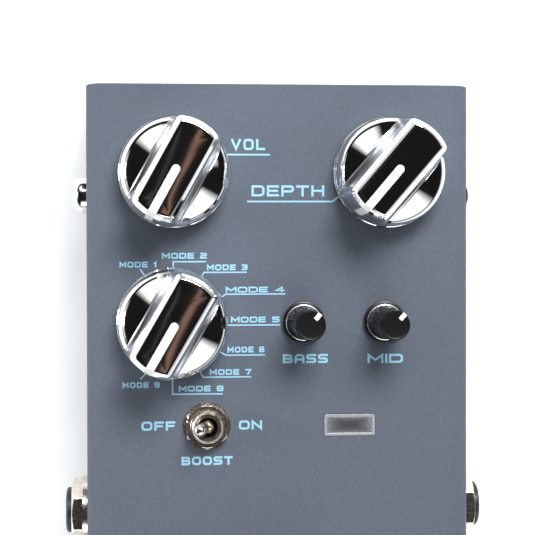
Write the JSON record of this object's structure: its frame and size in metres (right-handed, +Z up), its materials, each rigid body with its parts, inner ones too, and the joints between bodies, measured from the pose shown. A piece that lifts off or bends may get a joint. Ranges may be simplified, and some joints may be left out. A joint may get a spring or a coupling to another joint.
{
  "type": "effects pedal",
  "caption": "Floor effects pedal: folded metal case with chrome bar knobs, small knurled knobs, a mini toggle, a stomp switch, side jacks and a rear power socket.",
  "frame": {"origin": "on the floor under the middle of the case, in the plane of the feet's undersides", "axes": "+X to the player's right, +Y to the rear edge where the power socket is, +Z up"},
  "size_m": [0.0852, 0.13, 0.053],
  "materials": {
    "case_paint": "fine satin blue-grey paint",
    "chassis_paint": "satin dark grey paint",
    "chrome_knob": "mirror chrome on moulded plastic",
    "nickel": "bright nickel plate",
    "steel_screw": "polished screw head",
    "pointer_white": "gloss white inlay",
    "black_knob": "satin black moulded plastic",
    "silver_ring": "turned silver ring",
    "window_plastic": "frosted translucent plastic",
    "rubber": "matte black rubber",
    "board_green": "solder-masked board",
    "black_plastic": "moulded black plastic",
    "zinc": "zinc-plated steel",
    "capacitor_can": "bare aluminium can",
    "contact_brass": "tinned brass",
    "led_package": "diffused package",
    "wire_jacket": "insulated wire"
  },
  "bodies": {
    "housing": {"base_chassis": "chassis_paint", "board_connector": "black_plastic", "board_screws": "zinc", "board_spacers": "zinc", "capacitors": "capacitor_can", "cover_screws": "steel_screw", "dc_pin": "contact_brass", "dc_socket": "black_plastic", "decay_pot": "zinc", "foot_screws": "zinc", "footswitch_body": "black_plastic", "footswitch_bushing": "nickel", "footswitch_nut": "nickel", "footswitch_spring": "zinc", "footswitch_washer": "nickel", "footswitch_wires": "wire_jacket", "input_jack": "black_plastic", "jack_contacts": "contact_brass", "jack_nuts": "nickel", "jack_washers": "nickel", "led_window": "window_plastic", "main_board": "board_green", "mix_pot": "zinc", "mod_pot": "black_plastic", "mode_switch": "zinc", "output_jack": "black_plastic", "panel_board": "board_green", "pot_nuts": "zinc", "pot_washers": "zinc", "processor_chips": "black_plastic", "rubber_feet": "rubber", "status_led": "led_package", "toggle_body": "black_plastic", "toggle_bushing": "nickel", "toggle_nut": "nickel", "toggle_washer": "nickel", "tone_pot": "black_plastic", "top_cover": "case_paint"},
    "mix_control": {"mix_shaft": "zinc", "mix_knob": "chrome_knob", "mix_pointer": "pointer_white"},
    "decay_control": {"decay_shaft": "zinc", "decay_knob": "chrome_knob", "decay_pointer": "pointer_white"},
    "mode_control": {"mode_shaft": "zinc", "mode_knob": "chrome_knob", "mode_pointer": "pointer_white"},
    "tone_control": {"tone_shaft": "black_plastic", "tone_knob": "black_knob", "tone_knob_ring": "silver_ring", "tone_pointer": "pointer_white"},
    "mod_control": {"mod_shaft": "black_plastic", "mod_knob": "black_knob", "mod_knob_ring": "silver_ring", "mod_pointer": "pointer_white"},
    "toggle": {"toggle_lever": "nickel"},
    "footswitch": {"footswitch_plunger": "chrome_knob"}
  },
  "joints": [
    {"name": "mix_turn", "type": "hinge", "parent": "housing", "child": "mix_control", "pos_m": [-0.0208, 0.0476, 0.038], "axis": [0, 0, 1], "range_deg": [-300, 0]},
    {"name": "decay_turn", "type": "hinge", "parent": "housing", "child": "decay_control", "pos_m": [0.0214, 0.0476, 0.038], "axis": [0, 0, 1], "range_deg": [-300, 0]},
    {"name": "mode_turn", "type": "hinge", "parent": "housing", "child": "mode_control", "pos_m": [-0.0212, 0.0181, 0.038], "axis": [0, 0, 1], "range_deg": [0, 240]},
    {"name": "tone_turn", "type": "hinge", "parent": "housing", "child": "tone_control", "pos_m": [0.0046, 0.0181, 0.038], "axis": [0, 0, 1], "range_deg": [-111.5, 188.5]},
    {"name": "mod_turn", "type": "hinge", "parent": "housing", "child": "mod_control", "pos_m": [0.0207, 0.0181, 0.038], "axis": [0, 0, 1], "range_deg": [-108, 192]},
    {"name": "toggle_tip", "type": "hinge", "parent": "housing", "child": "toggle", "pos_m": [-0.0145, -0.0021, 0.04], "axis": [0, 1, 0], "range_deg": [0, 32]},
    {"name": "footswitch_press", "type": "slide", "parent": "housing", "child": "footswitch", "axis": [0, 0, -1], "range_m": [0, 0.0025], "stiffness_N_per_m": 3000, "springref_m": -0.003, "deforming": ["footswitch_spring"]}
  ]
}
